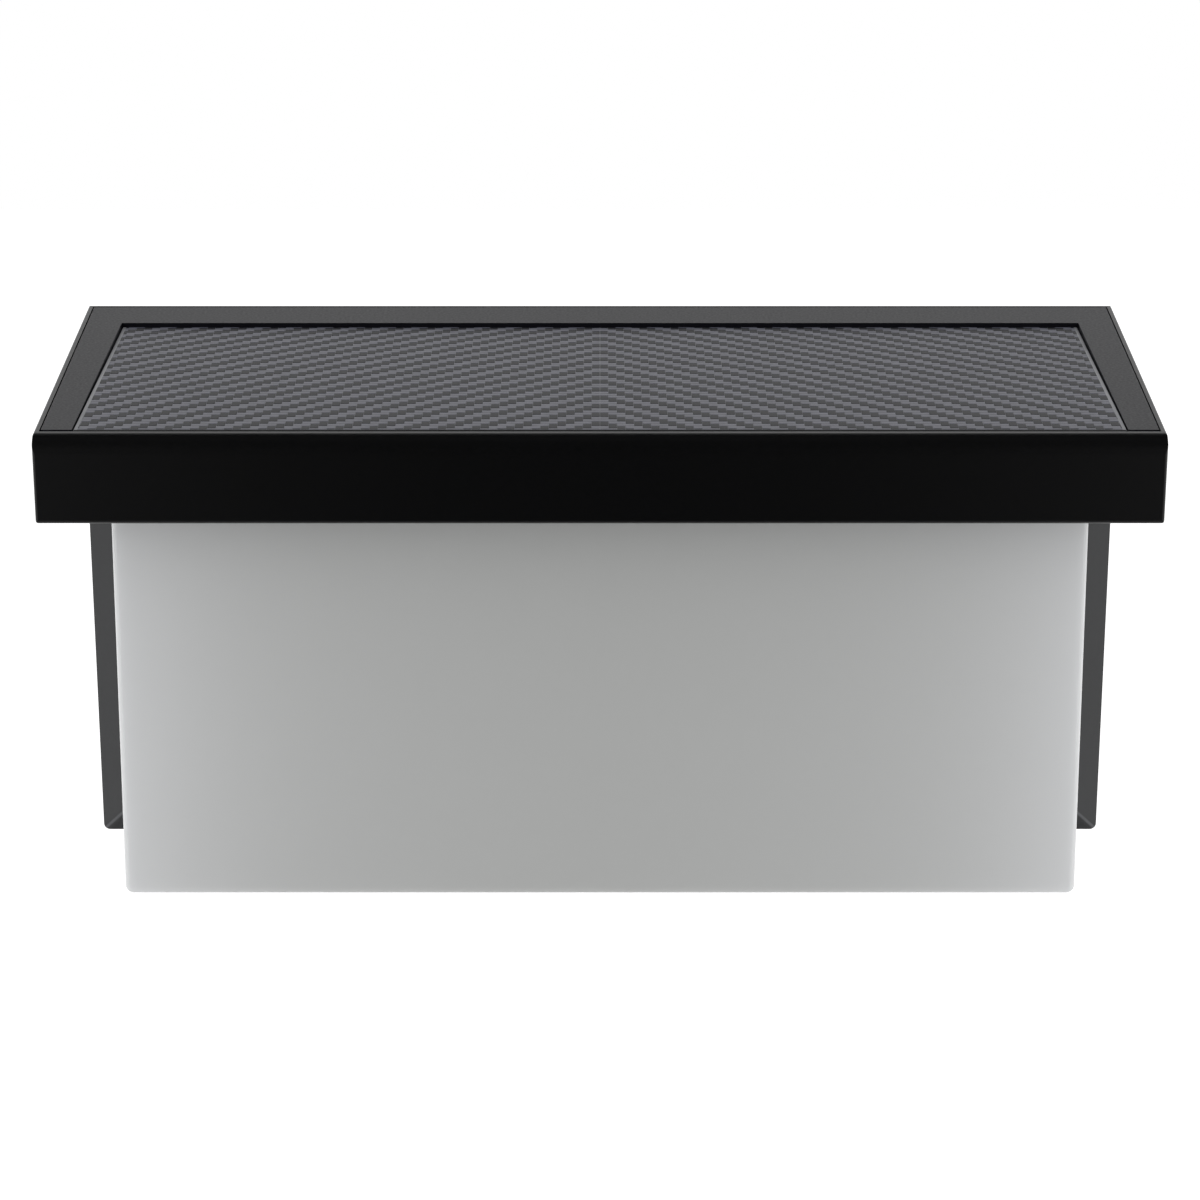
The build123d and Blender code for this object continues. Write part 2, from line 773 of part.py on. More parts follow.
# Control board and what is soldered to it
with BuildPart() as control_board:
    with BuildSketch(front_plane(board_back)):
        with Locations((0, board_middle)):
            Rectangle(board_length, board_height)
        with Locations(*board_screws_at):
            Circle(small_screw_radius + screw_gap, mode=Mode.SUBTRACT)
    extrude(amount=board_thickness)

board_screws = screw_group(
    rear_plane,
    board_front + small_head_height,
    -1,
    [(x, -z) for x, z in board_screws_at],
    small_screw_radius,
    small_head_radius,
    small_head_height,
    small_screw_length,
)

with BuildPart() as charge_chip:
    with BuildSketch(front_plane(board_front)):
        with Locations(chip_at):
            Rectangle(chip_length, chip_width)
    extrude(amount=chip_height)

with BuildPart() as power_inductor:
    with BuildSketch(front_plane(board_front)):
        with Locations(inductor_at):
            Circle(inductor_radius)
    extrude(amount=inductor_height)

with BuildPart() as capacitor:
    with BuildSketch(front_plane(board_front)):
        with Locations(capacitor_at):
            Circle(capacitor_radius)
    extrude(amount=capacitor_length)

socket_top = board_middle + board_height / 2 - seam_gap
socket_depth = board_front + socket_height / 2
with BuildPart() as lead_sockets:
    with BuildSketch(front_plane(board_front)):
        for socket_x in (battery_socket_x, lamp_socket_x, panel_socket_x):
            with Locations((socket_x, socket_top - socket_width / 2)):
                Rectangle(socket_length, socket_width)
    extrude(amount=socket_height)

# Push button: a cap through the housing's underside, with a stem up to the switch
button_at = (button_x, -button_depth)
plunger_bottom = switch_bottom - plunger_reach
flange_seat = housing_inner_bottom + button_end_gap
with BuildPart() as switch_body:
    with BuildSketch(level_plane(switch_bottom)):
        with Locations(button_at):
            Rectangle(switch_length, switch_width)
    extrude(amount=switch_height)
    with BuildSketch(level_plane(switch_bottom)):
        with Locations(button_at):
            Circle(plunger_radius + button_gap)
    extrude(amount=plunger_inside + button_travel + travel_gap, mode=Mode.SUBTRACT)

with BuildPart() as switch_plunger:
    with BuildSketch(level_plane(plunger_bottom)):
        with Locations(button_at):
            Circle(plunger_radius)
    extrude(amount=plunger_reach + plunger_inside)

with BuildPart() as push_button:
    with BuildSketch(level_plane(housing_bottom - button_proud)):
        with Locations(button_at):
            Circle(button_radius)
    extrude(amount=flange_seat - housing_bottom + button_proud)
    fillet(edges().sort_by(Axis.Z)[0], button_edge_radius)
    with BuildSketch(level_plane(flange_seat)):
        with Locations(button_at):
            Circle(button_flange_radius)
    extrude(amount=button_flange_thickness)
    with BuildSketch(level_plane(flange_seat)):
        with Locations(button_at):
            Circle(button_stem_radius)
    extrude(amount=plunger_bottom - flange_seat)

# Grommet that seals the panel's leads between the hood and the housing
grommet_at = (grommet_x, -hood_screw_depth)
lead_offsets = (-lead_pitch / 2, lead_pitch / 2)
with BuildPart() as grommet:
    with BuildSketch(level_plane(housing_inner_top)):
        with Locations(grommet_at):
            Circle(grommet_neck_radius)
    extrude(amount=housing_wall + hood_floor)
    with BuildSketch(level_plane(hood_bottom + hood_floor)):
        with Locations(grommet_at):
            Circle(grommet_flange_radius)
    extrude(amount=grommet_flange_thickness)
    with BuildSketch(level_plane(housing_inner_top - grommet_flange_thickness)):
        with Locations(grommet_at):
            Circle(grommet_foot_radius)
    extrude(amount=grommet_flange_thickness)
    with BuildSketch(level_plane(housing_inner_top - grommet_flange_thickness)):
        for offset_x in lead_offsets:
            with Locations((grommet_x + offset_x, -hood_screw_depth)):
                Circle(lead_radius + lead_gap)
    extrude(amount=hood_top, mode=Mode.SUBTRACT)

# Leads, each a pair
panel_pad = panel_plane(cover_thickness + cell_thickness + panel_board_thickness + lead_gap)
pad_z = panel_pad.from_local_coords((0, back_rail - panel_pad_depth, 0)).Z - lead_radius * sin(panel_tilt)
run_z = pad_z - lead_drop
below_cradle = battery_middle - bay_height / 2 - cradle_wall
with BuildPart() as panel_leads:
    for offset_x in lead_offsets:
        # The outer lead of the pair turns lower, so that the two stay apart
        turn_z = below_cradle - offset_x - lead_pitch / 2
        add(
            lead(
                (
                    (grommet_x + offset_x, -panel_pad_depth, pad_z),
                    (grommet_x + offset_x, -panel_pad_depth, run_z),
                    (grommet_x + offset_x, -hood_screw_depth, run_z),
                    (grommet_x + offset_x, -hood_screw_depth, turn_z),
                    (panel_socket_x + offset_x, -socket_depth, turn_z - panel_lead_fall),
                    (panel_socket_x + offset_x, -socket_depth, socket_top),
                ),
                (lead_bend, lead_bend, lead_bend, lead_bend),
            )
        )

tab_inner_x = contact_side
lead_run_z = tab_bottom + lead_radius
battery_lead_x = (battery_socket_x - lead_pitch / 2, battery_socket_x + lead_pitch / 2)
with BuildPart() as battery_leads:
    add(
        lead(
            (
                (tab_inner_x, -battery_lead_depth, lead_run_z),
                (battery_lead_x[1], -battery_lead_depth, lead_run_z),
                (battery_lead_x[1], -socket_depth, (lead_run_z + socket_top) / 2),
                (battery_lead_x[1], -socket_depth, socket_top),
            ),
            (lead_bend, lead_bend),
        )
    )
    add(
        lead(
            (
                (-tab_inner_x, -battery_lead_depth, lead_run_z),
                (battery_lead_x[0], -battery_lead_depth, lead_run_z),
                (battery_lead_x[0], -socket_depth, (lead_run_z + socket_top) / 2),
                (battery_lead_x[0], -socket_depth, socket_top),
            ),
            (tight_bend, lead_bend),
        )
    )

with BuildPart() as lamp_leads:
    for offset_x in lead_offsets:
        add(
            lead(
                (
                    (lamp_socket_x + offset_x, -reflector_depth, lamp_lead_z),
                    (lamp_socket_x + offset_x, -socket_depth, lamp_lead_z),
                    (lamp_socket_x + offset_x, -socket_depth, socket_top),
                ),
                (lead_bend,),
            )
        )

pieces = {
    "hood": hood,
    "top_frame": top_frame,
    "solar_cover": solar_cover,
    "solar_cells": solar_cells,
    "panel_board": panel_board,
    "panel_tape": panel_tape,
    "rear_housing": rear_housing,
    "diffuser": diffuser,
    "diffuser_seal": diffuser_seal,
    "reflector": reflector,
    "lamp_board": lamp_board,
    "lamps": lamps,
    "lamp_screws": lamp_screws,
    "back_cover": back_cover,
    "back_seal": back_seal,
    "back_screws": back_screws,
    "hood_screws": hood_screws,
    "battery": battery,
    "battery_pad": battery_pad,
    "battery_cradle": battery_cradle,
    "positive_contact": positive_contact,
    "negative_contact": negative_contact,
    "control_board": control_board,
    "board_screws": board_screws,
    "charge_chip": charge_chip,
    "power_inductor": power_inductor,
    "capacitor": capacitor,
    "lead_sockets": lead_sockets,
    "switch_body": switch_body,
    "switch_plunger": switch_plunger,
    "push_button": push_button,
    "grommet": grommet,
    "panel_leads": panel_leads,
    "battery_leads": battery_leads,
    "lamp_leads": lamp_leads,
}

os.makedirs("parts", exist_ok=True)
for name, piece in pieces.items():
    piece.part.label = name
    export_step(piece.part, f"parts/{name}.step")
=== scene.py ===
import bpy
from math import atan2, exp, radians
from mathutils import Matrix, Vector


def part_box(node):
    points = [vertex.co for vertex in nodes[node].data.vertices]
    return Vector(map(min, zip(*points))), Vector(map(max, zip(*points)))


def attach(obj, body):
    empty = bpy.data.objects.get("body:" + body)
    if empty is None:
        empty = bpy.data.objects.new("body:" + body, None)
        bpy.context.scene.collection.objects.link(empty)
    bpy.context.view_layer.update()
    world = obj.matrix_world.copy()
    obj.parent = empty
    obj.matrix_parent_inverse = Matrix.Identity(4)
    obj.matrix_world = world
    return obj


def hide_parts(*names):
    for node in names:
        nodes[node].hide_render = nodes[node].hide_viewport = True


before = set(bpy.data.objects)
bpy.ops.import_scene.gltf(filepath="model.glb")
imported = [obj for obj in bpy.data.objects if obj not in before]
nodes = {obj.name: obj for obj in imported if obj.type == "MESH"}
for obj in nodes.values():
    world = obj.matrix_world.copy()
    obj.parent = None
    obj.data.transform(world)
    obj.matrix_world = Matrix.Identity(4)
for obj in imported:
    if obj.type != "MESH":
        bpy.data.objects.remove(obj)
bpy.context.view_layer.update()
mm = 0.001  # the settings below are in millimetres and degrees
print("frame loaded:", len(nodes), "nodes")


# camera as in the photograph: on the middle line, looking down at the front

view = {"lens": 117.5, "sensor": 36, "pitch": 20.33, "ahead": 591.3, "above": 199.9, "near": 10}

bpy.ops.object.select_all(action="DESELECT")
bpy.ops.object.camera_add(
    location=(0, -view["ahead"] * mm, view["above"] * mm),
    rotation=(radians(90 - view["pitch"]), 0, 0),
)
camera = bpy.context.object
camera.name = "photoCamera"
camera.data.sensor_fit = "HORIZONTAL"
camera.data.sensor_width = view["sensor"]
camera.data.lens = view["lens"]
camera.data.clip_start = view["near"] * mm
bpy.context.scene.camera = camera
print("camera placed")


# helpers for materials

mixA, mixB, mixResult = 6, 7, 2  # the colour sockets of a Mix node
noiseLow, noiseHigh = 0.3, 0.7  # nearly all of a noise texture lies between these


def linear(hexColour):  # a hex colour as it is seen, turned to the linear one that a shader takes
    seen = [int(hexColour[i:i + 2], 16) / 255 for i in (1, 3, 5)]
    return [c / 12.92 if c <= 0.04045 else ((c + 0.055) / 1.055) ** 2.4 for c in seen] + [1]


def perMm(size):  # texture scale at which one cell of a noise is this many millimetres
    return 1 / (size * mm)


def addNode(tree, kind, settings=None, links=None):
    node = tree.nodes.new(kind)
    for name, value in (settings or {}).items():
        if isinstance(name, str) and hasattr(node, name):
            setattr(node, name, value)
        else:
            node.inputs[name].default_value = value
    for name, source in (links or {}).items():
        tree.links.new(source, node.inputs[name])
    return node


def startMaterial(name, surface):
    material = bpy.data.materials.new(name)
    material.use_nodes = True
    tree = material.node_tree
    tree.nodes.clear()
    shader = addNode(tree, "ShaderNodeBsdfPrincipled", surface)
    addNode(tree, "ShaderNodeOutputMaterial", links={"Surface": shader.outputs["BSDF"]})
    place = addNode(tree, "ShaderNodeTexCoord").outputs["Object"]
    return material, tree, shader, place


# One pattern blends the look's two colours. Another raises the relief and, where the look has a
# range of gloss, varies it
def dress(tree, shader, look, colourPattern, surfacePattern):
    colour = addNode(
        tree,
        "ShaderNodeMix",
        {"data_type": "RGBA", mixA: linear(look["colour"]), mixB: linear(look["shade"])},
        {0: colourPattern},
    )
    tree.links.new(colour.outputs[mixResult], shader.inputs["Base Color"])
    bump = addNode(
        tree,
        "ShaderNodeBump",
        {"Strength": look["relief"], "Distance": look["depth"] * mm},
        {"Height": surfacePattern},
    )
    tree.links.new(bump.outputs["Normal"], shader.inputs["Normal"])
    if "gloss" in look:
        low, high = look["gloss"]
        gloss = addNode(
            tree,
            "ShaderNodeMapRange",
            {"From Min": noiseLow, "From Max": noiseHigh, "To Min": low, "To Max": high},
            {"Value": surfacePattern},
        )
        tree.links.new(gloss.outputs["Result"], shader.inputs["Roughness"])


# A moulded plastic: its colour clouds a little, its gloss varies and the mould's texture stands up
# as grain
def mouldedPlastic(name, look):
    material, tree, shader, place = startMaterial(name, {"IOR": look["ior"]})
    cloud = addNode(
        tree, "ShaderNodeTexNoise", {"Scale": perMm(look["cloud"]), "Detail": 3}, {"Vector": place}
    )
    grain = addNode(
        tree, "ShaderNodeTexNoise", {"Scale": perMm(look["grain"]), "Detail": 2}, {"Vector": place}
    )
    dress(tree, shader, look, cloud.outputs["Fac"], grain.outputs["Fac"])
    return material


# ABS, injection moulded in a finely spark-eroded tool: a deep satin black that turns grey at a low
# angle. Its grain is drawn coarser than the tool's, so that it shows
hoodAbs = {
    "colour": "#040405", "shade": "#030304", "cloud": 9, "ior": 1.35,
    "grain": 0.35, "gloss": (0.30, 0.36), "relief": 0.12, "depth": 0.02,
}

# The same ABS from a slightly coarser tool: the frame round the panel looks a touch flatter
frameAbs = {
    "colour": "#0a0a13", "shade": "#080810", "cloud": 7, "ior": 1.31,
    "grain": 0.4, "gloss": (0.38, 0.48), "relief": 0.16, "depth": 0.02,
}

# ABS of the housing: charcoal and as satin as the frame, so its bevels catch light from the sides
housingAbs = {
    "colour": "#27282a", "shade": "#222325", "cloud": 11, "ior": 1.6,
    "grain": 0.4, "gloss": (0.34, 0.44), "relief": 0.14, "depth": 0.02,
}

# ABS of the back cover, from the coarsest tool: its texture spreads the light most
coverAbs = {
    "colour": "#222324", "shade": "#1c1d1e", "cloud": 8, "ior": 1.5,
    "grain": 0.5, "gloss": (0.42, 0.55), "relief": 0.25, "depth": 0.03,
}

# The mitres of the housing's bevel carry a painted highlight: each shows as a fine paler line,
# which is solid as far as its core from the mitre's middle and gone at its reach
mitreHighlight = {
    "side": 79.5, "underside": 52.8,  # the housing's outline, from the origin
    "bevelFrom": 13.3,  # the bevel lies further from the wall than this
    "core": 0.15, "reach": 0.45, "colour": "#545558",
}


# painted highlight: the base colour turns paler along each mitre of the bevel
def paintMitreHighlights(material, look):
    tree = material.node_tree
    shader = tree.nodes["Principled BSDF"]
    moulded = shader.inputs["Base Color"].links[0].from_socket
    place = tree.nodes["Texture Coordinate"].outputs["Object"]
    at = addNode(tree, "ShaderNodeSeparateXYZ", links={"Vector": place}).outputs
    across = addNode(tree, "ShaderNodeMath", {"operation": "ABSOLUTE"}, {0: at["X"]})
    outAndUp = addNode(
        tree, "ShaderNodeMath", {"operation": "ADD"}, {0: across.outputs["Value"], 1: at["Z"]}
    )
    onMitre = look["side"] - look["underside"]  # what out and up add up to along a mitre
    offMitre = addNode(
        tree,
        "ShaderNodeMath",
        {"operation": "MULTIPLY_ADD", 1: -1 / mm, 2: onMitre},
        {0: outAndUp.outputs["Value"]},
    )
    distance = addNode(
        tree, "ShaderNodeMath", {"operation": "ABSOLUTE"}, {0: offMitre.outputs["Value"]}
    )
    line = addNode(
        tree,
        "ShaderNodeMapRange",
        {"From Min": look["core"], "From Max": look["reach"], "To Min": 1, "To Max": 0},
        {"Value": distance.outputs["Value"]},
    )
    onBevel = addNode(
        tree,
        "ShaderNodeMath",
        {"operation": "LESS_THAN", 1: -look["bevelFrom"] * mm},
        {0: at["Y"]},
    )
    paintedHighlight = addNode(
        tree,
        "ShaderNodeMath",
        {"operation": "MULTIPLY"},
        {0: line.outputs["Result"], 1: onBevel.outputs["Value"]},
    )
    colour = addNode(
        tree,
        "ShaderNodeMix",
        {"data_type": "RGBA", mixB: linear(look["colour"])},
        {0: paintedHighlight.outputs["Value"], mixA: moulded},
    )
    tree.links.new(colour.outputs[mixResult], shader.inputs["Base Color"])


slotMaterials = {
    "hood_plastic": mouldedPlastic("satinBlackAbs", hoodAbs),
    "frame_plastic": mouldedPlastic("mattBlackAbs", frameAbs),
    "housing_plastic": mouldedPlastic("satinHousingAbs", housingAbs),
    "cover_plastic": mouldedPlastic("texturedCoverAbs", coverAbs),
}
paintMitreHighlights(slotMaterials["housing_plastic"], mitreHighlight)


# Opal polycarbonate, moulded with a light diffusing filler: milky, because light scatters in it.
# Its colour is painted paler towards both flanks, a painted glow for the light that enters there
opal = {
    "colour": "#c1c2c1", "shade": "#e0e1e2",  # in the middle, and at the flanks
    "halfWidth": 71, "reach": 18,  # where the flanks are, and the length over which they fade
    "ior": 1.55, "scatter": 2.0,  # how far light spreads in it
    "grain": 0.6, "gloss": (0.30, 0.36), "relief": 0.03, "depth": 0.01,
}


def opalPlastic(name, look):
    material, tree, shader, place = startMaterial(
        name,
        {
            "IOR": look["ior"],
            "Subsurface Weight": 1.0,
            "Subsurface Radius": (1.0, 1.0, 1.0),
            "Subsurface Scale": look["scatter"] * mm,
        },
    )
    at = addNode(tree, "ShaderNodeSeparateXYZ", links={"Vector": place}).outputs
    across = addNode(tree, "ShaderNodeMath", {"operation": "ABSOLUTE"}, {0: at["X"]})
    fromFlank = addNode(
        tree,
        "ShaderNodeMath",
        {
            "operation": "MULTIPLY_ADD",
            1: perMm(look["reach"]),
            2: -look["halfWidth"] / look["reach"],
        },
        {0: across.outputs["Value"]},
    )
    # painted light: the base colour grows paler towards each flank
    paintedFlankLight = addNode(
        tree,
        "ShaderNodeMath",
        {"operation": "EXPONENT", "use_clamp": True},
        {0: fromFlank.outputs["Value"]},
    )
    grain = addNode(
        tree, "ShaderNodeTexNoise", {"Scale": perMm(look["grain"]), "Detail": 2}, {"Vector": place}
    )
    dress(tree, shader, look, paintedFlankLight.outputs["Value"], grain.outputs["Fac"])
    return material


slotMaterials["opal_plastic"] = opalPlastic("opalPolycarbonate", opal)


# The plastics, rubbers and coatings of the button and of what is inside: even colours, and a gloss
# from polished silicon and shrink sleeve to dull foam
innerPlastics = {
    "white_plastic": ("whiteAbs", "#e8e8e4", "#dfdfda", (0.35, 0.45)),
    "cradle_plastic": ("blackNylon", "#202122", "#191a1b", (0.45, 0.55)),
    "chip_plastic": ("epoxyPackage", "#1d1d1e", "#161617", (0.5, 0.6)),
    "socket_plastic": ("naturalNylon", "#e6e0cf", "#dcd5c2", (0.35, 0.45)),
    "red_lead": ("redPvc", "#a31c1a", "#8d1715", (0.35, 0.45)),
    "black_lead": ("blackPvc", "#1a1a1b", "#141415", (0.35, 0.45)),
    "silicone": ("greySilicone", "#8b8d8e", "#7f8182", (0.45, 0.55)),
    "button_rubber": ("blackSilicone", "#1c1d1e", "#161718", (0.5, 0.6)),
    "battery_sleeve": ("shrinkSleeve", "#2f6f4e", "#286243", (0.25, 0.32)),
    "foam_tape": ("foamTape", "#2a2a2b", "#222223", (0.7, 0.8)),
    "white_board": ("whiteSolderMask", "#e9ebe8", "#dfe2de", (0.3, 0.4)),
    "circuit_board": ("greenSolderMask", "#1d5b39", "#174b2f", (0.25, 0.35)),
    "silicon_cells": ("siliconCells", "#10131d", "#0c0f17", (0.15, 0.25)),
    "lamp_package": ("lampPackage", "#f0e6b0", "#e8dc9c", (0.2, 0.3)),
    "ferrite": ("ferrite", "#3a3b3d", "#303133", (0.55, 0.7)),
}
for slotName, (name, colour, shade, gloss) in innerPlastics.items():
    slotMaterials[slotName] = mouldedPlastic(
        name,
        {
            "colour": colour, "shade": shade, "cloud": 4, "ior": 1.5,
            "grain": 0.4, "gloss": gloss, "relief": 0.1, "depth": 0.02,
        },
    )


# A plated or drawn metal: fine scratches along X that smear its highlights
def drawnMetal(name, look):
    material, tree, shader, place = startMaterial(name, {"Metallic": 1.0})
    stretched = addNode(tree, "ShaderNodeMapping", {"Scale": look["along"]}, {"Vector": place})
    scratch = addNode(
        tree,
        "ShaderNodeTexNoise",
        {"Scale": perMm(look["scratch"]), "Detail": 4},
        {"Vector": stretched.outputs["Vector"]},
    )
    dress(tree, shader, look, scratch.outputs["Fac"], scratch.outputs["Fac"])
    return material


metals = {
    "zinc_steel": ("zincPlatedSteel", "#c9ccd0", "#aeb2b8", (0.25, 0.4)),
    "contact_metal": ("nickelPlatedSpring", "#cfc9bd", "#b8b2a6", (0.2, 0.35)),
    "capacitor_can": ("aluminiumCan", "#c4c6c9", "#abadb1", (0.3, 0.45)),
}
for slotName, (name, colour, shade, gloss) in metals.items():
    slotMaterials[slotName] = drawnMetal(
        name,
        {
            "colour": colour, "shade": shade, "gloss": gloss,
            "scratch": 0.3, "along": (0.08, 1, 1), "relief": 0.1, "depth": 0.01,
        },
    )


# Solar film: PET embossed as a twill. The threads that run along X get a painted highlight colour
# and those along Y a painted shade, lit and shaded copies of one film; the fibres drawn along each
# thread dull it a little
def wovenFilm(name, look):
    material, tree, shader, place = startMaterial(
        name, {"IOR": look["ior"], "Roughness": look["roughness"]}
    )
    stretched = addNode(tree, "ShaderNodeMapping", {"Scale": look["along"]}, {"Vector": place})
    fibre = addNode(
        tree,
        "ShaderNodeTexNoise",
        {"Scale": perMm(look["fibre"]), "Detail": 3},
        {"Vector": stretched.outputs["Vector"]},
    )
    patch = addNode(
        tree, "ShaderNodeTexNoise", {"Scale": perMm(look["patch"]), "Detail": 1}, {"Vector": place}
    )
    both = addNode(
        tree,
        "ShaderNodeMath",
        {"operation": "MULTIPLY_ADD", 1: look["fibreShare"]},
        {0: fibre.outputs["Fac"], 2: patch.outputs["Fac"]},
    )
    spreadOut = addNode(
        tree,
        "ShaderNodeMapRange",
        {"From Min": look["light"], "From Max": look["dark"], "To Min": 0, "To Max": 1},
        {"Value": both.outputs["Value"]},
    )
    dress(tree, shader, look, spreadOut.outputs["Result"], fibre.outputs["Fac"])
    return material


film = {
    "fibre": 0.25, "patch": 1.6, "fibreShare": 0.5,
    "light": 0.5, "dark": 1.0,  # sums of both patterns that give the colour and the shade
    "relief": 0.2, "depth": 0.01,
}
# painted shade: the threads along Y are the same PET coloured darker
shadedWarpFilm = {
    **film,
    "colour": "#0b0c16", "shade": "#07080f", "ior": 1.31, "roughness": 0.45,
    "along": (1, 0.15, 1),
}
# painted highlight: the threads along X are the same PET coloured lighter
litWeftFilm = {
    **film,
    "colour": "#4d4e58", "shade": "#41424c", "ior": 1.44, "roughness": 0.4,
    "along": (0.15, 1, 1),
}
# painted highlight: the smooth border of the film is coloured pale grey for the light its edge
# catches
litRimFilm = {
    **film,
    "colour": "#77787b", "shade": "#6d6e71", "ior": 1.45, "roughness": 0.4,
    "along": (1, 1, 1), "fibre": 0.3, "patch": 3.0, "relief": 0.1,
}
shadedWarpPet = wovenFilm("paintedShadeWarpPet", shadedWarpFilm)
litWeftPet = wovenFilm("paintedLightWeftPet", litWeftFilm)
litRimPet = wovenFilm("paintedLightPetRim", litRimFilm)
slotMaterials["panel_film"] = litRimPet

# The sides and the front edge of the film are coloured near black: a painted shade that keeps the
# seam round the panel dark
seamShadeLook = {
    "colour": "#0b0b0c", "shade": "#070708", "cloud": 3, "ior": 1.4,
    "grain": 0.3, "gloss": (0.5, 0.6), "relief": 0.1, "depth": 0.01,
}
seamShadeFilm = mouldedPlastic("paintedSeamShade", seamShadeLook)
print("materials made:", len(bpy.data.materials))

for name, piece in nodes.items():
    slot = piece.material_slots[0].material.name.split(".")[0] if piece.material_slots else ""
    if slot in slotMaterials:
        for materialSlot in piece.material_slots:
            materialSlot.material = slotMaterials[slot]
    else:
        print("no finish for", name, slot)


# helpers for modelling

def only(piece):
    bpy.ops.object.select_all(action="DESELECT")
    piece.select_set(True)
    bpy.context.view_layer.objects.active = piece


# goes into edit mode with only those parts of a piece selected that pass a test; kind is vertices,
# edges or polygons
def pick(piece, kind, test):
    only(piece)
    mesh = piece.data
    for element in list(mesh.vertices) + list(mesh.edges) + list(mesh.polygons):
        element.select = False
    for element in getattr(mesh, kind):
        element.select = test(mesh, element)
    modes = [kind == each for each in ("vertices", "edges", "polygons")]
    bpy.context.tool_settings.mesh_select_mode = modes
    bpy.ops.object.mode_set(mode="EDIT")


def leaveEdit():
    bpy.ops.object.mode_set(mode="OBJECT")


def lowerEnd(mesh, edge):
    return min(mesh.vertices[i].co.z for i in edge.vertices)


# solar cover: a clear film on a tilted slab, embossed as a 2/2 twill that mirrors at the middle

twill = {
    "across": 1.21, "along": 1.0,  # thread spacing in X, and in Y at the middle of the film
    "firstRow": 0.867, "rowGrowth": 0.0045,  # spacing at the back, and its growth with each row
    "repeat": 4, "columns": 16, "rows": 15,  # threads in one repeat of the weave, and its repeats
    "relief": 0.05, "crown": 0.12,
    "gap": 0.03, "warpEnd": 0.28,  # beside a thread, and where a dark one dives under a light one
    "border": 0.35, "sideBorder": 0.62, "middleGap": 0.03, "weld": 0.0001,
    "thickness": 0.5, "edgeBevel": 0.2, "smooth": 40,
    "backEdge": 9.7, "recess": 0.55, "windowLength": 54.5,
    "sideGap": 0.15, "frontGap": 0.7, "backHalf": 73.8, "flare": 0.95,
}
seamShadeFaces = {"upright": 0.3, "forward": 0.2}  # on faces this near upright, or turned this far forward

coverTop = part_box("solar_cover")[1].z
tilt = atan2(twill["recess"], twill["windowLength"])
slabBack = -twill["sideGap"]
slabFront = -(twill["windowLength"] - twill["frontGap"])
slabHalfBack = twill["backHalf"] - twill["sideGap"]
slabHalfFront = slabHalfBack + twill["flare"] * -slabFront / twill["windowLength"]


def makeThread(name, lengthX, lengthY, material):
    bpy.ops.object.select_all(action="DESELECT")
    bpy.ops.mesh.primitive_cube_add(size=1)
    thread = bpy.context.object
    thread.name = name
    thread.scale = (lengthX, lengthY, 1)
    bpy.ops.object.transform_apply(scale=True)
    pick(thread, "edges", lambda mesh, edge: lowerEnd(mesh, edge) > 0)
    bpy.ops.mesh.bevel(offset=twill["crown"], segments=2)
    leaveEdit()
    thread.scale = (mm, mm, 2 * twill["relief"] * mm)
    bpy.ops.object.transform_apply(scale=True)
    thread.data.materials.append(material)
    return thread


def copyTo(piece, x, y):
    only(piece)
    bpy.ops.object.duplicate()
    copied = bpy.context.object
    copied.location = (x * mm, y * mm, -twill["relief"] * mm)
    bpy.ops.object.transform_apply(location=True)
    return copied


# one repeat of the weave: each thread passes over two others, one step on from its neighbour
across, along = twill["across"], twill["along"]
warp = makeThread("warpThread", across - twill["gap"], 2 * along - twill["warpEnd"], shadedWarpPet)
weft = makeThread("weftThread", 2 * across - twill["gap"], along - twill["gap"], litWeftPet)
startX = -twill["repeat"] * across * twill["columns"]
startY = -twill["repeat"] * along * twill["rows"]
threads = []
for i in range(twill["repeat"]):
    threads.append(copyTo(warp, startX + (i + 0.5) * across, startY + (i + 1) * along))
    threads.append(copyTo(weft, startX + (i + 2) * across, startY + (i + 0.5) * along))
bpy.ops.object.select_all(action="DESELECT")
for thread in threads:
    thread.select_set(True)
bpy.context.view_layer.objects.active = threads[0]
bpy.ops.object.join()
weave = bpy.context.object
weave.name = "twillFilm"
for single in (warp, weft):
    bpy.data.objects.remove(single)

for name, count, offset in (
    ("acrossPanel", twill["columns"], (twill["repeat"] * across * mm, 0, 0)),
    ("alongPanel", twill["rows"], (0, twill["repeat"] * along * mm, 0)),
):
    array = weave.modifiers.new(name, "ARRAY")
    array.use_relative_offset = False
    array.use_constant_offset = True
    array.constant_offset_displace = offset
    array.count = count
    bpy.ops.object.modifier_apply(modifier=name)

growth = twill["rowGrowth"] / (along * mm)
firstRow = twill["firstRow"] / along
for vertex in weave.data.vertices:
    vertex.co.y = -firstRow * (exp(-growth * vertex.co.y) - 1) / growth

# trim the threads to a border inside the cover's outline
cornerBack = Vector((-(slabHalfBack - twill["sideBorder"]), slabBack, 0)) * mm
cornerFront = Vector((-(slabHalfFront - twill["sideBorder"]), slabFront, 0)) * mm
sideRun = cornerFront - cornerBack
cuts = (
    ((-twill["middleGap"] * mm, 0, 0), (1, 0, 0)),
    ((0, (slabBack - twill["border"]) * mm, 0), (0, 1, 0)),
    ((0, (slabFront + twill["border"]) * mm, 0), (0, -1, 0)),
    (cornerBack, Vector((sideRun.y, -sideRun.x, 0)).normalized()),
)
for point, outward in cuts:
    pick(weave, "vertices", lambda mesh, vertex: True)
    bpy.ops.mesh.bisect(
        plane_co=point,
        plane_no=outward,
        use_fill=True,
        clear_outer=True,
        threshold=twill["weld"] * mm,
    )
    leaveEdit()
mirror = weave.modifiers.new("otherHalf", "MIRROR")
mirror.use_mirror_merge = False
only(weave)
bpy.ops.object.modifier_apply(modifier="otherHalf")

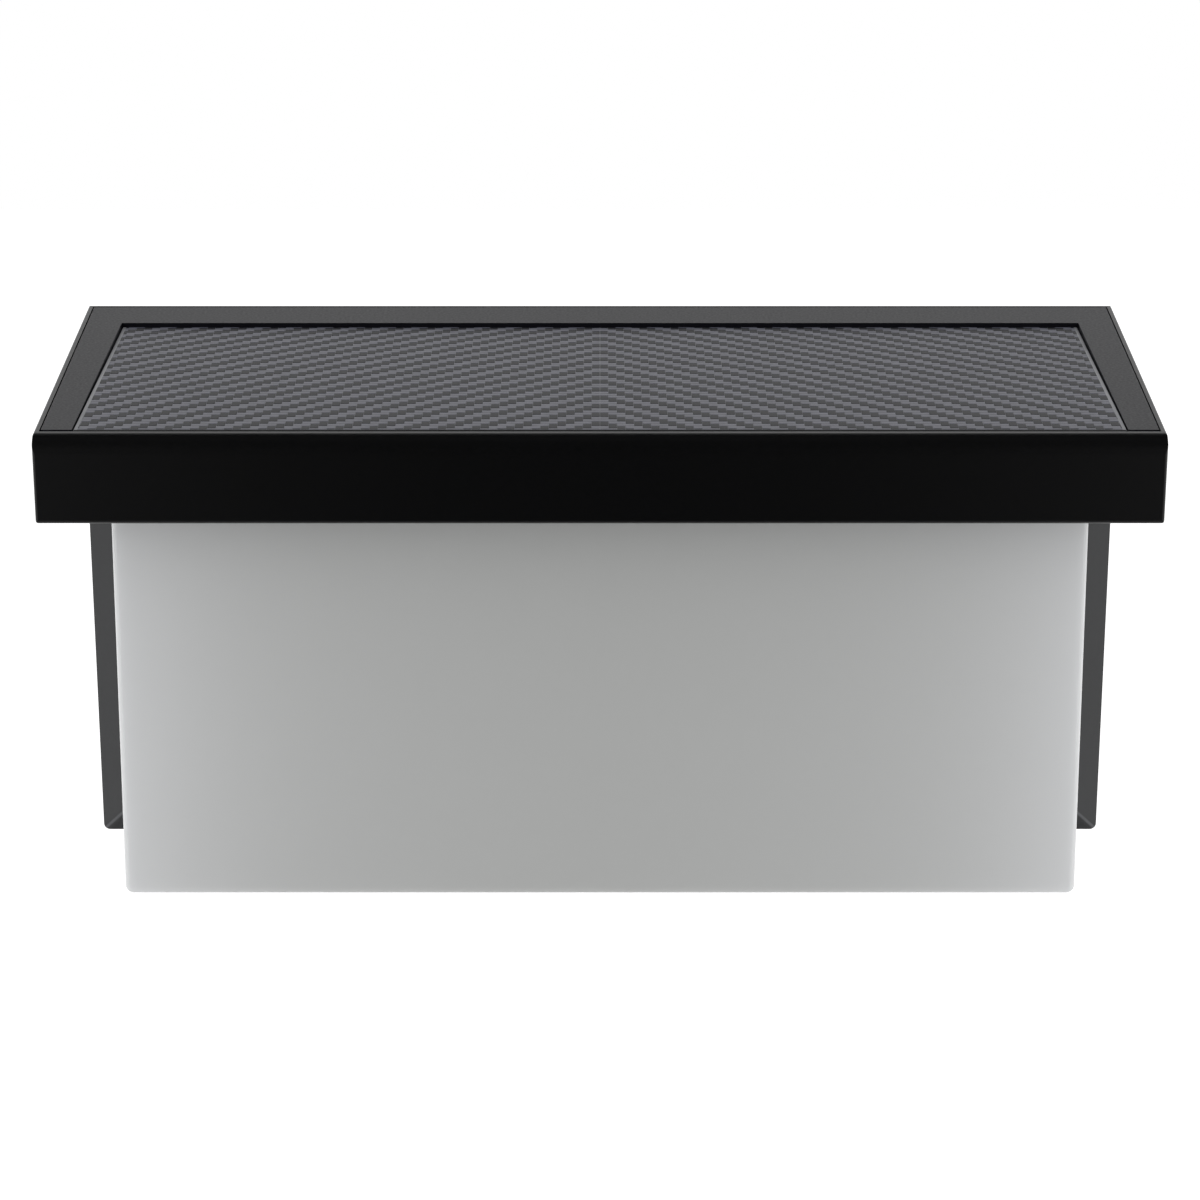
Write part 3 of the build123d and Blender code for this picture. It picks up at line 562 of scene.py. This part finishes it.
# the slab under the threads
slabThickness = twill["thickness"] - twill["relief"]
slabMiddleY = (slabBack + slabFront) / 2 * mm
slabMiddleZ = -(twill["relief"] + slabThickness / 2) * mm
bpy.ops.object.select_all(action="DESELECT")
bpy.ops.mesh.primitive_cube_add(size=1, location=(0, 0, 0))
slab = bpy.context.object
slab.name = "filmSlab"
slab.scale = (2 * slabHalfBack * mm, (slabBack - slabFront) * mm, slabThickness * mm)
slab.location = (0, slabMiddleY, slabMiddleZ)
bpy.ops.object.transform_apply(location=True, scale=True)
pick(slab, "vertices", lambda mesh, vertex: vertex.co.y < slabMiddleY)
bpy.ops.transform.resize(value=(slabHalfFront / slabHalfBack, 1, 1))
leaveEdit()
pick(slab, "edges", lambda mesh, edge: lowerEnd(mesh, edge) > slabMiddleZ)
bpy.ops.mesh.bevel(offset=twill["edgeBevel"] * mm, segments=2)
leaveEdit()
for material in (litRimPet, seamShadeFilm):
    slab.data.materials.append(material)
# painted shade: the slab's upright and forward faces take the near-black film
for polygon in slab.data.polygons:
    if abs(polygon.normal.z) < seamShadeFaces["upright"] or polygon.normal.y < -seamShadeFaces["forward"]:
        polygon.material_index = slab.data.materials.find("paintedSeamShade")

# both become one piece, which is laid into the window
bpy.ops.object.select_all(action="DESELECT")
slab.select_set(True)
weave.select_set(True)
bpy.context.view_layer.objects.active = weave
bpy.ops.object.join()
weave.rotation_euler = (-tilt, 0, 0)
weave.location = (0, -twill["backEdge"] * mm, coverTop)
bpy.ops.object.transform_apply(location=True, rotation=True)
weaveTop = max(vertex.co.z for vertex in weave.data.vertices)
weave.location = (0, 0, coverTop - weaveTop)
bpy.ops.object.transform_apply(location=True)
bpy.ops.object.shade_smooth_by_angle(angle=radians(twill["smooth"]))
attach(weave, "light")
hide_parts("solar_cover")
print("solar cover woven:", len(weave.data.polygons), "faces")


# studio: a white tent, a softbox above and one on each side, and a floor well below

studio = {
    "tent": 0.85,  # what the tent gives as light; it shows as plain white
    "topLamp": 2.2, "topSize": 900, "topHeight": 900, "topBack": 50,
    "sideLamp": 1.0, "sideSize": 700, "sideOut": 800, "sideBack": 250,
    "floor": 1000, "floorSize": 8000, "floorColour": "#e6e6e6", "floorGlow": 0.55,
    "canopyColour": "#050505",
}


# 1 for rays that look, from the camera, a glossy surface or through a clear one, and 0 for those
# that light things
def lookingRay(tree):
    rays = addNode(tree, "ShaderNodeLightPath").outputs
    two = addNode(
        tree,
        "ShaderNodeMath",
        {"operation": "ADD"},
        {0: rays["Is Camera Ray"], 1: rays["Is Glossy Ray"]},
    )
    three = addNode(
        tree,
        "ShaderNodeMath",
        {"operation": "ADD", "use_clamp": True},
        {0: two.outputs["Value"], 1: rays["Is Transmission Ray"]},
    )
    return three.outputs["Value"]


world = bpy.data.worlds.new("whiteTent")
bpy.context.scene.world = world
world.use_nodes = True
tree = world.node_tree
tree.nodes.clear()
seen = lookingRay(tree)
white = (1, 1, 1, 1)
light = addNode(tree, "ShaderNodeBackground", {"Color": white, "Strength": studio["tent"]})
shown = addNode(tree, "ShaderNodeBackground", {"Color": white, "Strength": 1.0})
mixed = addNode(
    tree,
    "ShaderNodeMixShader",
    links={0: seen, 1: light.outputs["Background"], 2: shown.outputs["Background"]},
)
addNode(tree, "ShaderNodeOutputWorld", links={"Surface": mixed.outputs["Shader"]})


def addSoftbox(name, place, turn, size, energy):
    bpy.ops.object.select_all(action="DESELECT")
    bpy.ops.object.light_add(type="AREA", location=Vector(place) * mm, rotation=turn)
    lamp = bpy.context.object
    lamp.name = name
    lamp.data.shape = "SQUARE"
    lamp.data.size = size * mm
    lamp.data.energy = energy
    lamp.visible_camera = False


addSoftbox(
    "topSoftbox",
    (0, studio["topBack"], studio["topHeight"]),
    (0, 0, 0),
    studio["topSize"],
    studio["topLamp"],
)
# the side ones stand a little behind the light: they brighten the diffuser's flanks, not its front
sideTurn = atan2(studio["sideBack"], studio["sideOut"])
for side in (-1, 1):
    addSoftbox(
        "sideSoftbox",
        (side * studio["sideOut"], studio["sideBack"], 0),
        (0, side * radians(90), side * sideTurn),
        studio["sideSize"],
        studio["sideLamp"],
    )

# Y, Z and half width of each edge of a black canopy that only shows in reflections: it lies below
# the light, rises in front of it and bends back over it, so that the front stays deep black and
# the top mirrors just the low, bright part of the tent behind
canopy = [
    (-250, -985, 280),
    (-750, -980, 280),
    (-750, 350, 280),
    (60, 750, 450),
    (900, 650, 750),
]
strips = len(canopy) - 1
bpy.ops.object.select_all(action="DESELECT")
bpy.ops.mesh.primitive_grid_add(x_subdivisions=1, y_subdivisions=strips, size=2)
card = bpy.context.object
card.name = "blackCanopy"
for vertex in card.data.vertices:
    y, z, halfWidth = canopy[round((vertex.co.y + 1) / 2 * strips)]
    vertex.co = Vector((halfWidth if vertex.co.x > 0 else -halfWidth, y, z)) * mm
card.visible_camera = False
card.visible_diffuse = False
card.visible_shadow = False
blackCard = startMaterial(
    "blackCardPaper",
    {"Base Color": linear(studio["canopyColour"]), "Roughness": 1.0, "IOR": 1.0},
)[0]
card.data.materials.append(blackCard)

# pale floor: matt paper that the studio light brings close to white
bpy.ops.object.select_all(action="DESELECT")
bpy.ops.mesh.primitive_plane_add(
    size=studio["floorSize"] * mm, location=(0, 0, -studio["floor"] * mm)
)
floor = bpy.context.object
floor.name = "paleFloor"
bpy.ops.object.transform_apply(location=True)
paper, tree, shader = startMaterial(
    "palePaper",
    {
        "Base Color": linear(studio["floorColour"]),
        "Roughness": 0.9,
        "Emission Color": white,
    },
)[:3]
lift = addNode(
    tree,
    "ShaderNodeMath",
    {"operation": "MULTIPLY", 1: studio["floorGlow"]},
    {0: lookingRay(tree)},
)
tree.links.new(lift.outputs["Value"], shader.inputs["Emission Strength"])
floor.data.materials.append(paper)
bpy.context.scene.view_settings.view_transform = "Standard"
print("studio lit")
